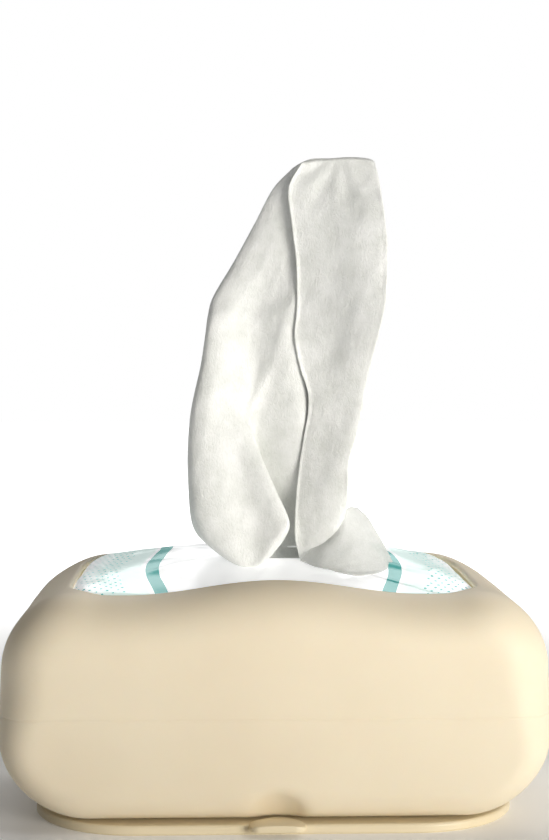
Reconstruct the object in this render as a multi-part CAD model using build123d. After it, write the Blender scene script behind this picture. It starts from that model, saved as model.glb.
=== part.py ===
from build123d import *
import os

# Refillable dispenser for baby wipes. A soft silicone cover with a large wavy opening on top stands on a
# base plate, and holds a film pack of folded wipes. One wipe stands up through the pack's slot.
# Sizes are in millimetres. X runs along the length, -Y is the front, +Z is up, and the origin is the
# middle of the base plate's underside.

# Cover: one soft moulding, with crowned ends and a roll along its front and back
cover_length = 230.0
cover_depth = 132.0
cover_height = 96.0
cover_wall = 3.0
cavity_bevel = 14.0
end_crown = 4.0
top_corner = 32.0
bottom_corner = 33.5
face_roll = 21.0

# Top opening of the cover, with the long wave of its rim
opening_length = 173.0
rim_width = 20.0
opening_corner = 18.0
rim_rise = 6.0
rim_run = 62.0
lip_edge = 0.9

# Mouth under the cover, which the base plate's plug fills
mouth_length = 158.0
mouth_depth = 84.0
mouth_corner = 20.0

# Scoop in the cover's lower front edge, above the pull tab
scoop_width = 28.0
scoop_cut = 2.0
scoop_run = 80.0

# Base plate, with a plug that fills the mouth and carries the pack
base_length = 206.0
base_depth = 127.0
base_thickness = 4.0
base_corner = 45.0
base_edge_round = 1.3
base_foot_edge = 0.8
plug_height = 11.0
plug_wall = 3.0
plug_clearance = 0.5
plug_lead_in = 1.2
rib_thickness = 2.0
rib_count_x = 7
rib_count_y = 3

# Pull tab on the front of the base plate
tab_width = 23.0
tab_reach = 2.6
tab_root = 8.0
tab_bottom = 2.2
tab_edge = 0.9
tab_crown = 3.0
tab_corner = 3.5
tab_edge_round = 0.5

# Film pack: a flow-wrapped pouch whose top film rises into the cover's opening
pack_length = 188.0
pack_depth = 98.0
pack_height = 66.0
pack_corner = 13.0
corner_facets = 3
film = 0.8
seat_gap = 0.2

# Steps of the pouch's rounded underside and of its dome: height from the underside or from the top of
# the upright sides, then how far the ends, the long sides and the corner radius draw in
underside_steps = ((0.0, 2.5, 2.0, 5.0), (3.0, 0.8, 0.6, 2.0), (8.0, 0.0, 0.0, 0.0))
dome_steps = (
    (8.0, 5.5, 3.0, -2.0),
    (14.5, 16.0, 9.5, -3.0),
    (20.5, 32.0, 20.0, 0.0),
    (24.5, 50.0, 35.0, 5.0),
)

# Slot in the top film, crimped end seals and the fin seal along the underside
slot_length = 68.0
slot_width = 15.0
slot_offset = 5.0
crimp_length = 9.0
crimp_depth = 88.0
crimp_teeth = 22
crimp_tooth = 1.4
fin_width = 12.0

# Folded wipes: each is folded once, and its leaves lie between the leaves of its neighbours
wipe_length = 176.0
leaf_depth = 87.0
leaf_thickness = 1.5
leaf_gap = 0.4
stack_headroom = 7.0
stack_gap = 0.2

# Next wipe, whose upper leaf is drawn up towards the slot
tip_rise = 16.0
tip_straight = 5.0
tip_length = 54.0
tip_offset = 4.0

# Wipe standing up through the slot. Its cloth is a band that is folded forward at both sides.
cloth = 1.5
tail_drop = 14.0
tail_rise = 2.1
tail_half = 24.0
tail_gap = 0.3
tail_bends = 8
# Levels of the band, each a height above the slot and then the bends in plan: from the left fold, along the
# back, round the right fold and forward to the free edge
band_levels = (
    (6.5, (-29, -4), (-22, 4), (-10, 5.5), (3, 3.5), (20, 5), (30.5, -1), (23, -7), (12, -7)),
    (14.5, (-34, -6), (-26, 4), (-10, 6), (3, 2.5), (20, 5.5), (31.5, -4), (24, -12), (10, -9)),
    (31.5, (-36, -9), (-28, 3), (-11, 5.5), (2, 2), (20, 5), (31.5, -7), (24, -13.5), (10, -9)),
    (45.5, (-36, -9.5), (-28, 1.5), (-12, 4), (3, 0.5), (20, 4), (31.5, -8), (25, -13), (12, -8)),
    (59.5, (-35, -10), (-28, -4), (-13, 1), (3, -1), (22, 3), (36, -9), (28, -12.5), (15, -7.5)),
    (73.5, (-32.5, -10), (-26, -10), (-12, -4), (2, -2.5), (24, 2), (38.5, -9.5), (30, -12.5), (15.5, -6.5)),
    (89.5, (-29.5, -8), (-22, -8.5), (-8, -2), (2.5, -2.5), (26, 1), (42, -10), (32, -11.5), (10.5, -5.2)),
    (108.5, (-27, -2.5), (-19, -4.5), (-6, -1.5), (3, -2.5), (28, 0), (46.5, -10), (34, -11), (10, -4.8)),
    (128.5, (-17, 1.5), (-11, -0.5), (-2, -1.5), (8, -2), (30, -0.5), (48.5, -9), (36, -10.5), (10, -4.4)),
    (150.5, (-5, 1), (-1, -0.5), (4, -1), (12, -0.8), (30, 0), (47.5, -6.5), (36, -7.5), (8, -3.6)),
    (165.5, (1.5, 0.5), (4, 0), (8, -0.3), (15, 0), (30, 0.5), (46, -3), (34, -4.5), (8, -2.7)),
    (176.0, (10.5, 0.5), (13, 0.2), (16, 0.2), (20, 0.5), (32, 1), (45, -1), (34, -2.2), (13, -1.9)),
)
# Lobe of the same cloth that bulges forward over the left half, from its free edge to the left fold
lobe_cloth = 1.2
lobe_levels = (
    (3.1, (-2, -12), (-11, -15.5), (-21, -13), (-26.5, -6)),
    (9.5, (3, -14), (-9, -17.5), (-24, -16), (-31.5, -7)),
    (17.5, (6.5, -13.5), (-9, -16.5), (-27, -17.5), (-34.5, -8.5)),
    (31.5, (1, -11.5), (-12, -14), (-29, -16.5), (-36, -9)),
    (45.5, (-5, -9.5), (-17, -12.5), (-30, -14.5), (-36, -9.5)),
    (59.5, (-10.5, -6.5), (-19, -9.5), (-30, -12), (-35, -10)),
    (73.5, (-12, -4.1), (-19, -7), (-26, -10), (-32.3, -10)),
)
# Lower right corner of the cloth, which hangs forward over the film
corner_cloth = 1.2
corner_levels = (
    (3.1, (14, -11.5), (28, -17), (42, -14), (49.5, -8.5)),
    (6.5, (18, -11.5), (29, -14.5), (41, -11.5), (47.5, -6.5)),
    (13.5, (26, -12.5), (31.5, -11.5), (37, -8.5), (41.5, -4.5)),
    (21.5, (26, -10.6), (28.5, -8.2), (30, -6.7), (31.2, -5.5)),
)

# Heights and fits that follow from the sizes above, and the tolerance for picking edges
pick = 0.01
cover_top = base_thickness + cover_height
parting_height = base_thickness + cover_height / 2
opening_depth = cover_depth - 2 * rim_width
pack_bottom = base_thickness + plug_height + seat_gap
pouch_bottom = pack_bottom + film
shoulder_height = pouch_bottom + pack_height
slot_height = shoulder_height + dome_steps[-1][0]
leaf_pitch = leaf_thickness + leaf_gap
wipe_count = int((pack_height - stack_headroom) / (2 * leaf_pitch))
fold_span = 3 * leaf_pitch
fold_radius = (fold_span + leaf_thickness) / 2
stack_bottom = pouch_bottom + film + stack_gap
tail_offset = (slot_width - cloth) / 2 - tail_gap


def cover_outline():
    """Front view of the cover: flat foot, crowned ends, corner arcs and the wave of the rim."""
    corner_x = cover_length / 2 - end_crown
    turn = (rim_run / 2, cover_top + rim_rise / 2)
    half = Curve() + [
        TangentArc((0, cover_top + rim_rise), turn, tangent=(1, 0)),
        TangentArc((rim_run, cover_top), turn, tangent=(-1, 0)),
        Line((rim_run, cover_top), (corner_x, cover_top)),
        ThreePointArc(
            (corner_x, cover_top),
            (cover_length / 2, parting_height),
            (corner_x, base_thickness),
        ),
        Line((corner_x, base_thickness), (0, base_thickness)),
    ]
    outline = make_face(half + mirror(half, Plane.YZ))
    corners = outline.vertices().filter_by(lambda v: abs(abs(v.X) - corner_x) < pick)
    upper = corners.filter_by(lambda v: v.Y > parting_height)
    outline = fillet(upper, top_corner)
    corners = outline.vertices().filter_by(lambda v: abs(abs(v.X) - corner_x) < pick)
    return fillet(corners, bottom_corner)


def front_and_back(form):
    """Edges round a form's front face and its back face."""
    faces = form.faces().sort_by(Axis.Y)
    return faces[0].edges() + faces[-1].edges()


def cover_form():
    """The cover's outer form, closed, with its front and back rolled over."""
    form = extrude(Plane.XZ * cover_outline(), cover_depth / 2, both=True)
    return fillet(front_and_back(form), face_roll)


def cover_cavity():
    """The cover's cavity, closed, with bevels behind the rolls so that no wall is much thinner."""
    outline = offset(cover_outline(), -cover_wall)
    form = extrude(Plane.XZ * outline, cover_depth / 2 - cover_wall, both=True)
    return chamfer(front_and_back(form), cavity_bevel) - scoop(cover_wall)


def scoop(growth):
    """Cylinder lying across the lower front roll, halfway round it."""
    radius = (scoop_width**2 / 4 + scoop_cut**2) / (2 * scoop_cut)
    middle = Vector(0, face_roll - cover_depth / 2, base_thickness + face_roll)
    outward = Vector(0, -1, -1).normalized()
    centre = middle + outward * (face_roll - scoop_cut + radius)
    axis = Plane(centre, x_dir=(1, 0, 0), z_dir=(0, 1, -1))
    return axis * Cylinder(radius + growth, scoop_run)


def on_lip(edge):
    """True for the edges that run round the top opening."""
    box = edge.bounding_box()
    reach_x = max(-box.min.X, box.max.X)
    reach_y = max(-box.min.Y, box.max.Y)
    inside = reach_x < opening_length / 2 + pick and reach_y < opening_depth / 2 + pick
    level = abs(edge.tangent_at(0.5).Z) < 0.5
    return box.min.Z > parting_height and inside and level


def cover_shell():
    """Silicone cover: outer form, cavity, wavy opening above and mouth below."""
    shell = cover_form() - scoop(0) - cover_cavity()
    opening = RectangleRounded(opening_length, opening_depth, opening_corner)
    shell -= extrude(Pos(0, 0, parting_height) * opening, cover_height)
    mouth = RectangleRounded(mouth_length, mouth_depth, mouth_corner)
    shell -= extrude(Pos(0, 0, parting_height) * mouth, -cover_height)
    return chamfer(shell.edges().filter_by(on_lip), lip_edge)


def pull_tab():
    """Crowned tongue, a lens in front view, that runs out over the plate's front edge."""
    half = tab_width / 2
    shoulder = tab_bottom + tab_edge
    sides = Polyline((-half, shoulder), (-half, tab_bottom), (half, tab_bottom), (half, shoulder))
    crown = ThreePointArc((half, shoulder), (0, tab_bottom + tab_crown), (-half, shoulder))
    root = Plane.XZ.offset(base_depth / 2 - tab_root)
    tongue = extrude(root * make_face(sides + crown), tab_root + tab_reach)
    front = tongue.edges().filter_by(Axis.Z).sort_by(Axis.Y)[:2]
    tongue = fillet(front, tab_corner)
    return fillet(tongue.faces().sort_by(Axis.Z)[-1].edges(), tab_edge_round)


def plug_ribs():
    """Crossing ribs inside the plug, level with its top, that carry the pack."""
    inner_length = mouth_length - 2 * (plug_clearance + plug_wall)
    inner_depth = mouth_depth - 2 * (plug_clearance + plug_wall)
    ribs = Part()
    for i in range(rib_count_x):
        x = inner_length * ((i + 1) / (rib_count_x + 1) - 0.5)
        ribs += Pos(x, 0, plug_height / 2) * Box(rib_thickness, inner_depth + plug_wall, plug_height)
    for i in range(rib_count_y):
        y = inner_depth * ((i + 1) / (rib_count_y + 1) - 0.5)
        ribs += Pos(0, y, plug_height / 2) * Box(inner_length + plug_wall, rib_thickness, plug_height)
    return Pos(0, 0, base_thickness) * ribs


def base_plate():
    """Base plate with its plug, ribs and pull tab, in one piece."""
    plate = extrude(RectangleRounded(base_length, base_depth, base_corner), base_thickness)
    rims = plate.faces().sort_by(Axis.Z)
    plate = fillet(rims[-1].edges(), base_edge_round)
    plate = chamfer(plate.faces().sort_by(Axis.Z)[0].edges(), base_foot_edge)
    length = mouth_length - 2 * plug_clearance
    depth = mouth_depth - 2 * plug_clearance
    corner = mouth_corner - plug_clearance
    ring = RectangleRounded(length, depth, corner)
    ring -= RectangleRounded(length - 2 * plug_wall, depth - 2 * plug_wall, corner - plug_wall)
    plug = extrude(Pos(0, 0, base_thickness) * ring, plug_height)
    outer_top = plug.faces().sort_by(Axis.Z)[-1].outer_wire().edges()
    plug = chamfer(outer_top, plug_lead_in)
    return plate + plug + plug_ribs() + pull_tab()


def pouch_section(length, depth, radius):
    """Level outline of the pouch: a rectangle whose corners are rounded in a few flat facets."""
    points = []
    for side_x, side_y, start in ((1, -1, -90), (1, 1, 0), (-1, 1, 90), (-1, -1, 180)):
        corner = Vector(side_x * (length / 2 - radius), side_y * (depth / 2 - radius))
        for i in range(corner_facets + 1):
            turn = start + 90 * i / corner_facets
            points.append(corner + Vector(radius, 0).rotate(Axis.Z, turn))
    return make_face(Polyline(*points, close=True))


def pouch(inset):
    """The film pouch as a closed form, drawn in from its outer face by the inset."""
    steps = [(pouch_bottom + inset + h, *draw) for h, *draw in underside_steps]
    steps.append((shoulder_height, 0.0, 0.0, 0.0))
    steps += [(shoulder_height - inset + h, *draw) for h, *draw in dome_steps]
    sections = []
    for height, ends, sides, corner in steps:
        length = pack_length - 2 * (ends + inset)
        depth = pack_depth - 2 * (sides + inset)
        radius = pack_corner - corner - inset
        sections.append(Pos(0, 0, height) * pouch_section(length, depth, radius))
    return loft(sections, ruled=True)


def crimp():
    """Serrated end seal, standing out from the right end of the pouch at mid-height."""
    start = pack_length / 2 - film / 2
    end = pack_length / 2 + crimp_length
    pitch = crimp_depth / crimp_teeth
    edge = [(start, -crimp_depth / 2)]
    for i in range(crimp_teeth):
        y = pitch * i - crimp_depth / 2
        edge.append((end - crimp_tooth, y))
        edge.append((end, y + pitch / 2))
    edge.append((end - crimp_tooth, crimp_depth / 2))
    edge.append((start, crimp_depth / 2))
    seal = make_face(Polyline(*edge, close=True))
    return extrude(Pos(0, 0, pouch_bottom + pack_height / 2) * seal, film)


def pack_film():
    """Film pack: thin pouch with a slot on top, two crimped end seals and a fin seal underneath."""
    bag = pouch(0) - pouch(film)
    slot = SlotOverall(slot_length, slot_width)
    bag -= extrude(Pos(slot_offset, 0, shoulder_height) * slot, 2 * pack_height)
    fin_length = pack_length - 2 * (underside_steps[0][1] + film)
    fin = Pos(0, 0, pack_bottom + film) * Box(fin_length, fin_width, 2 * film)
    bag += fin - pouch(film)
    return bag + crimp() + mirror(crimp(), Plane.YZ)


def leaf_fold(low, side, upper_end):
    """Section of one folded wipe: a lower leaf, a round fold on one side and an upper leaf."""
    middle = low + fold_span / 2
    free = -side * (leaf_depth / 2 - fold_radius - leaf_gap)
    turn = side * (leaf_depth / 2 - fold_radius)
    inner = fold_radius - leaf_thickness
    half = leaf_thickness / 2
    high = low + fold_span
    outer_fold = ThreePointArc(
        (turn, low - half), (turn + side * fold_radius, middle), (turn, high + half)
    )
    inner_fold = ThreePointArc(
        (turn, high - half), (turn + side * inner, middle), (turn, low + half)
    )
    return make_face(
        Line((free, low - half), (turn, low - half))
        + outer_fold
        + Polyline(
            (turn, high + half),
            (upper_end, high + half),
            (upper_end, high - half),
            (turn, high - half),
        )
        + inner_fold
        + Polyline((turn, low + half), (free, low + half), (free, low - half))
    )


def leaf_level(index):
    """Height of the middle of a leaf, counted up from the bottom of the stack."""
    return stack_bottom + leaf_thickness / 2 + index * leaf_pitch


def wipe_stack():
    """Folded wipes, one above the other, with folds on alternate sides and their leaves interleaved."""
    wipes = []
    for i in range(wipe_count):
        side = 1 if i % 2 == 0 else -1
        free = -side * (leaf_depth / 2 - fold_radius - leaf_gap)
        section = leaf_fold(leaf_level(2 * i), side, free)
        wipes.append(extrude(Plane.YZ * section, wipe_length / 2, both=True))
    return Compound(children=[w.solid() for w in wipes])


def next_wipe():
    """Top wipe of the stack: its lower leaf lies flat and its upper leaf is drawn up to the slot."""
    side = 1 if wipe_count % 2 == 0 else -1
    low = leaf_level(2 * wipe_count)
    high = low + fold_span
    turn = side * (leaf_depth / 2 - fold_radius)
    flat = extrude(Plane.YZ * leaf_fold(low, side, turn - side), wipe_length / 2, both=True)
    half = leaf_thickness / 2
    tip = side * tip_offset
    bend = high + tip_rise - tip_straight
    rise = make_face(
        Polyline(
            (turn, high - half),
            (turn, high + half),
            (tip + side * half, bend),
            (tip + side * half, high + tip_rise),
            (tip - side * half, high + tip_rise),
            (tip - side * half, bend - leaf_thickness),
            close=True,
        )
    )
    leaf = extrude(Plane.YZ * rise, wipe_length / 2, both=True)
    taper = make_face(
        Polyline(
            (-wipe_length / 2, high - leaf_thickness),
            (wipe_length / 2, high - leaf_thickness),
            (tip_length / 2 + slot_offset, high + tip_rise),
            (-tip_length / 2 + slot_offset, high + tip_rise),
            close=True,
        )
    )
    leaf &= extrude(Plane.XZ * taper, pack_depth / 2, both=True)
    return flat + leaf


def band_outline(bends, thickness, height):
    """Level outline of a band of cloth that follows its bends in plan, with mitred bends."""
    points = [Vector(x, y) for x, y in bends]
    runs = [(b - a).normalized() for a, b in zip(points, points[1:])]
    left, right = [], []
    for point, before, after in zip(points, runs[:1] + runs, runs + runs[-1:]):
        mitre = (before + after).normalized()
        reach = thickness / 2 / mitre.dot(after)
        aside = Vector(-mitre.Y, mitre.X) * reach
        left.append(point + aside + Vector(0, 0, height))
        right.append(point - aside + Vector(0, 0, height))
    return left + right[::-1]


def folded_cloth(levels, thickness):
    """Solid band of cloth between its levels, with flat three-sided faces."""
    outlines = [band_outline(bends, thickness, slot_height + height) for height, *bends in levels]
    faces = [Face(Wire.make_polygon(outlines[0])), Face(Wire.make_polygon(outlines[-1]))]
    for low, high in zip(outlines, outlines[1:]):
        for i in range(len(low)):
            a, b, c, d = low[i - 1], low[i], high[i], high[i - 1]
            faces.append(Face(Wire.make_polygon((a, b, c))))
            faces.append(Face(Wire.make_polygon((a, c, d))))
    return Solid(Shell(faces))


def pulled_wipe():
    """Wipe standing up through the slot: a narrow tail in the pack, folds, a lobe and a hanging corner."""
    spacing = 2 * tail_half / (tail_bends - 1)
    tail = [(slot_offset - tail_half + spacing * i, tail_offset) for i in range(tail_bends)]
    levels = ((-tail_drop, *tail), (tail_rise, *tail), *band_levels)
    lobe = folded_cloth(lobe_levels, lobe_cloth)
    return folded_cloth(levels, cloth) + lobe + folded_cloth(corner_levels, corner_cloth)


os.makedirs("parts", exist_ok=True)
pieces = {
    "cover_shell": cover_shell(),
    "base_plate": base_plate(),
    "pack_film": pack_film(),
    "wipe_stack": wipe_stack(),
    "next_wipe": next_wipe(),
    "pulled_wipe": pulled_wipe(),
}
for name, piece in pieces.items():
    export_step(piece, f"parts/{name}.step")
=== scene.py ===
"""Looks of the wipes dispenser: a silicone cover on a base plate, a film pack in it, and a wipe standing
up through the pack's slot. Shapes are worked out in millimetres and put into metres by mesh_object()."""

import bmesh
import bpy
import numpy as np
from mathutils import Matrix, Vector


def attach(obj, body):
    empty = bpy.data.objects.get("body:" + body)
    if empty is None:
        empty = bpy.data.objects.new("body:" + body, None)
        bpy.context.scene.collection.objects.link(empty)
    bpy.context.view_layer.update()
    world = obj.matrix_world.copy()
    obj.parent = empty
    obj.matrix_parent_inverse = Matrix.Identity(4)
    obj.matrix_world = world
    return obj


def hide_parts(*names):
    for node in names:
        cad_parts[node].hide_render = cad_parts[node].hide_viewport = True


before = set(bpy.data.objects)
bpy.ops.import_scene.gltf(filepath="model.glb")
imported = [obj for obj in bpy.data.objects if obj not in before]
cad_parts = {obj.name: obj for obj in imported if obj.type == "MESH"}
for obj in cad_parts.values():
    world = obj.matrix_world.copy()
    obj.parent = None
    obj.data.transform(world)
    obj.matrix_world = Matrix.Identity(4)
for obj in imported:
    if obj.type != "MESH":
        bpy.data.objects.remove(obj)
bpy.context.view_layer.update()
MM = 0.001


# Helpers


def faces_between(index):
    """Faces of four corners between the neighbouring points of a numbered grid."""
    corners = [index[:-1, :-1], index[:-1, 1:], index[1:, 1:], index[1:, :-1]]
    return np.stack(corners, axis=-1).reshape(-1, 4)


def surface(name, grid, close_rows=False, close_columns=False):
    """Object with faces through a grid of points, rows by columns, in millimetres."""
    rows, columns = grid.shape[:2]
    index = np.arange(rows * columns).reshape(rows, columns)
    if close_rows:
        index = np.vstack([index, index[:1]])
    if close_columns:
        index = np.hstack([index, index[:, :1]])
    return mesh_object(name, grid.reshape(-1, 3), faces_between(index))


def mesh_object(name, points, quads):
    """Object at the origin from points in millimetres and faces of four corners, with smooth shading."""
    mesh = bpy.data.meshes.new(name)
    mesh.vertices.add(len(points))
    mesh.vertices.foreach_set("co", (np.asarray(points, float) * MM).ravel())
    mesh.loops.add(quads.size)
    mesh.loops.foreach_set("vertex_index", quads.ravel().astype(np.int32))
    mesh.polygons.add(len(quads))
    mesh.polygons.foreach_set("loop_start", np.arange(0, quads.size, 4, dtype=np.int32))
    mesh.update(calc_edges=True)
    mesh.validate()
    mesh.shade_smooth()
    thing = bpy.data.objects.new(name, mesh)
    bpy.context.scene.collection.objects.link(thing)
    return thing


def joined(*grids):
    """Points and faces of several grids as one mesh, numbered on from grid to grid."""
    points, quads, start = [], [], 0
    for grid in grids:
        rows, columns = grid.shape[:2]
        quads.append(faces_between(np.arange(rows * columns).reshape(rows, columns) + start))
        points.append(grid.reshape(-1, 3))
        start += rows * columns
    return np.vstack(points), np.vstack(quads)


def points_at(x, y, z):
    """Points from x, y and z, each of them stretched to the shape that all three share."""
    return np.stack(np.broadcast_arrays(x, y, z), axis=-1)


def smooth(t):
    """Smooth step from 0 to 1 as t goes from 0 to 1."""
    t = np.clip(t, 0.0, 1.0)
    return t * t * (3.0 - 2.0 * t)


def through(values, t):
    """Smooth curve through rows of values (Catmull-Rom): t counts the rows and runs from 0 to the last."""
    values = np.asarray(values, float)
    last = len(values) - 1
    t = np.clip(np.asarray(t, float), 0.0, last)
    k = np.minimum(t.astype(int), last - 1)
    f = (t - k).reshape(t.shape + (1,) * (values.ndim - 1))
    padded_values = np.concatenate([[2 * values[0] - values[1]], values, [2 * values[-1] - values[-2]]])
    a, b, c, d = (padded_values[k + i] for i in range(4))
    return 0.5 * (2 * b + (c - a) * f + (2 * a - 5 * b + 4 * c - d) * f**2 + (3 * b - a - 3 * c + d) * f**3)


def ring_frame(side, corner, end):
    """Rounded rectangle's parts, once round: shares of the corner centre and the outward directions. The
    counts are of the points on a long side, a corner and an end."""
    cx, cy, dx, dy = [], [], [], []
    corners = [(1, -1, -90), (1, 1, 0), (-1, 1, 90), (-1, -1, 180)]
    for i, (sx, sy, start) in enumerate(corners):
        turn = np.radians(start + np.linspace(0.0, 90.0, corner, endpoint=False))
        cx.append(np.full(corner, float(sx)))
        cy.append(np.full(corner, float(sy)))
        dx.append(np.cos(turn))
        dy.append(np.sin(turn))
        nx, ny, _ = corners[(i + 1) % 4]
        count = end if nx == sx else side
        run = np.linspace(0.0, 1.0, count, endpoint=False)
        way = np.radians(start + 90.0)
        cx.append(sx + (nx - sx) * run)
        cy.append(sy + (ny - sy) * run)
        dx.append(np.full(count, np.cos(way)))
        dy.append(np.full(count, np.sin(way)))
    return [np.concatenate(part) for part in (cx, cy, dx, dy)]


def ring(parts, half_length, half_depth, radius, middle=0.0):
    """Points of a rounded rectangle with the given half sizes and corner radius, round the ring frame."""
    cx, cy, dx, dy = parts
    return middle + cx * (half_length - radius) + dx * radius, cy * (half_depth - radius) + dy * radius


def ripple(x, y, z, seed, scale, octaves=3):
    """Smooth seeded unevenness between about -1 and 1: a sum of sine waves in fixed random directions, four
    to an octave. Each octave has waves half as long and 0.6 times as high as the one before."""
    rng = np.random.default_rng(seed)
    fade = 0.6
    full_turn = 6.28
    spread = 1.6
    total = np.zeros(np.broadcast(x, y, z).shape)
    weight = 0.0
    for octave in range(octaves):
        for _ in range(4):
            way = rng.normal(size=3)
            way *= 2 * np.pi * 2.0**octave / (scale * np.linalg.norm(way))
            phase = rng.uniform(0, full_turn)
            total = total + np.sin(way[0] * x + way[1] * y + way[2] * z + phase) * fade**octave
            weight += 0.5 * fade ** (2 * octave)
    return total / np.sqrt(weight) / spread


# Materials


def colour(code):
    """sRGB hex value as linear red, green, blue and alpha."""
    part = np.array([int(code[i : i + 2], 16) / 255 for i in (1, 3, 5)])
    linear = np.where(part <= 0.04045, part / 12.92, ((part + 0.055) / 1.055) ** 2.4)
    return (*linear.tolist(), 1.0)


def fill(node, values=None, links=None):
    """Gives a node's sockets their values, and links each (node, output) to its socket."""
    for key, value in (values or {}).items():
        node.inputs[key].default_value = value
    for key, (source, output) in (links or {}).items():
        node.id_data.links.new(source.outputs[output], node.inputs[key])


def add(tree, kind, settings=None, values=None, links=None, stops=()):
    """Adds a node: its settings, its sockets' values and links, and a ramp's stops as (place, hex colour)."""
    node = tree.nodes.new(kind)
    for key, value in (settings or {}).items():
        setattr(node, key, value)
    fill(node, values, links)
    if stops:
        bands = node.color_ramp.elements
        while len(bands) < len(stops):
            bands.new(1.0)
        for band, (place, code) in zip(bands, stops):
            band.position = place
            band.color = colour(code)
    return node


def material(name):
    """New material with its tree, its shader node and its source of object coordinates, in metres."""
    made = bpy.data.materials.new(name)
    made.use_nodes = True
    tree = made.node_tree
    return made, tree, tree.nodes["Principled BSDF"], (add(tree, "ShaderNodeTexCoord"), "Object")


def silicone():
    """Liquid silicone rubber, moulded with a fine matte texture: soft, dry and even, with faint mottling
    where dust and handling dull it."""
    made, tree, shader, place = material("moulded matte silicone")
    # The mottling is in clouds of about 70 mm. The mould's texture is finer than 0.1 mm: it is drawn with
    # grains of 0.7 mm so that it shows.
    cloud = add(tree, "ShaderNodeTexNoise", values={"Scale": 14.0, "Detail": 3.0}, links={"Vector": place})
    grain = add(tree, "ShaderNodeTexNoise", values={"Scale": 1500.0, "Detail": 2.0}, links={"Vector": place})
    tone = add(
        tree, "ShaderNodeValToRGB", links={"Fac": (cloud, "Fac")}, stops=[(0.3, "#ecdfc5"), (0.7, "#f2e6cd")]
    )
    rough = add(
        tree, "ShaderNodeMapRange", values={"To Min": 0.52, "To Max": 0.62}, links={"Value": (cloud, "Fac")}
    )
    bump = add(
        tree, "ShaderNodeBump", values={"Strength": 0.12, "Distance": 0.0002},
        links={"Height": (grain, "Fac")},
    )
    finish = {
        "IOR": 1.41,
        "Subsurface Weight": 0.12,
        "Subsurface Radius": (0.004, 0.0028, 0.0016),
        "Subsurface Scale": 1.0,
    }
    surfaces = {"Base Color": (tone, "Color"), "Roughness": (rough, "Result"), "Normal": (bump, "Normal")}
    fill(shader, finish, surfaces)
    return made


def base_plastic():
    """Polypropylene plate, injection moulded in the cover's colour with a satin mould finish."""
    made, tree, shader, place = material("moulded satin polypropylene")
    # The colour drifts in clouds of 50 mm. The satin is finer than 0.05 mm, and drawn with grains of 0.5 mm.
    cloud = add(tree, "ShaderNodeTexNoise", values={"Scale": 20.0, "Detail": 3.0}, links={"Vector": place})
    grain = add(tree, "ShaderNodeTexNoise", values={"Scale": 2200.0}, links={"Vector": place})
    tone = add(
        tree, "ShaderNodeValToRGB", links={"Fac": (cloud, "Fac")}, stops=[(0.3, "#e8dab9"), (0.7, "#eddfc0")]
    )
    bump = add(
        tree, "ShaderNodeBump", values={"Strength": 0.1, "Distance": 0.0001}, links={"Height": (grain, "Fac")}
    )
    surfaces = {"Base Color": (tone, "Color"), "Normal": (bump, "Normal")}
    fill(shader, {"IOR": 1.49, "Roughness": 0.42}, surfaces)
    return made


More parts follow.
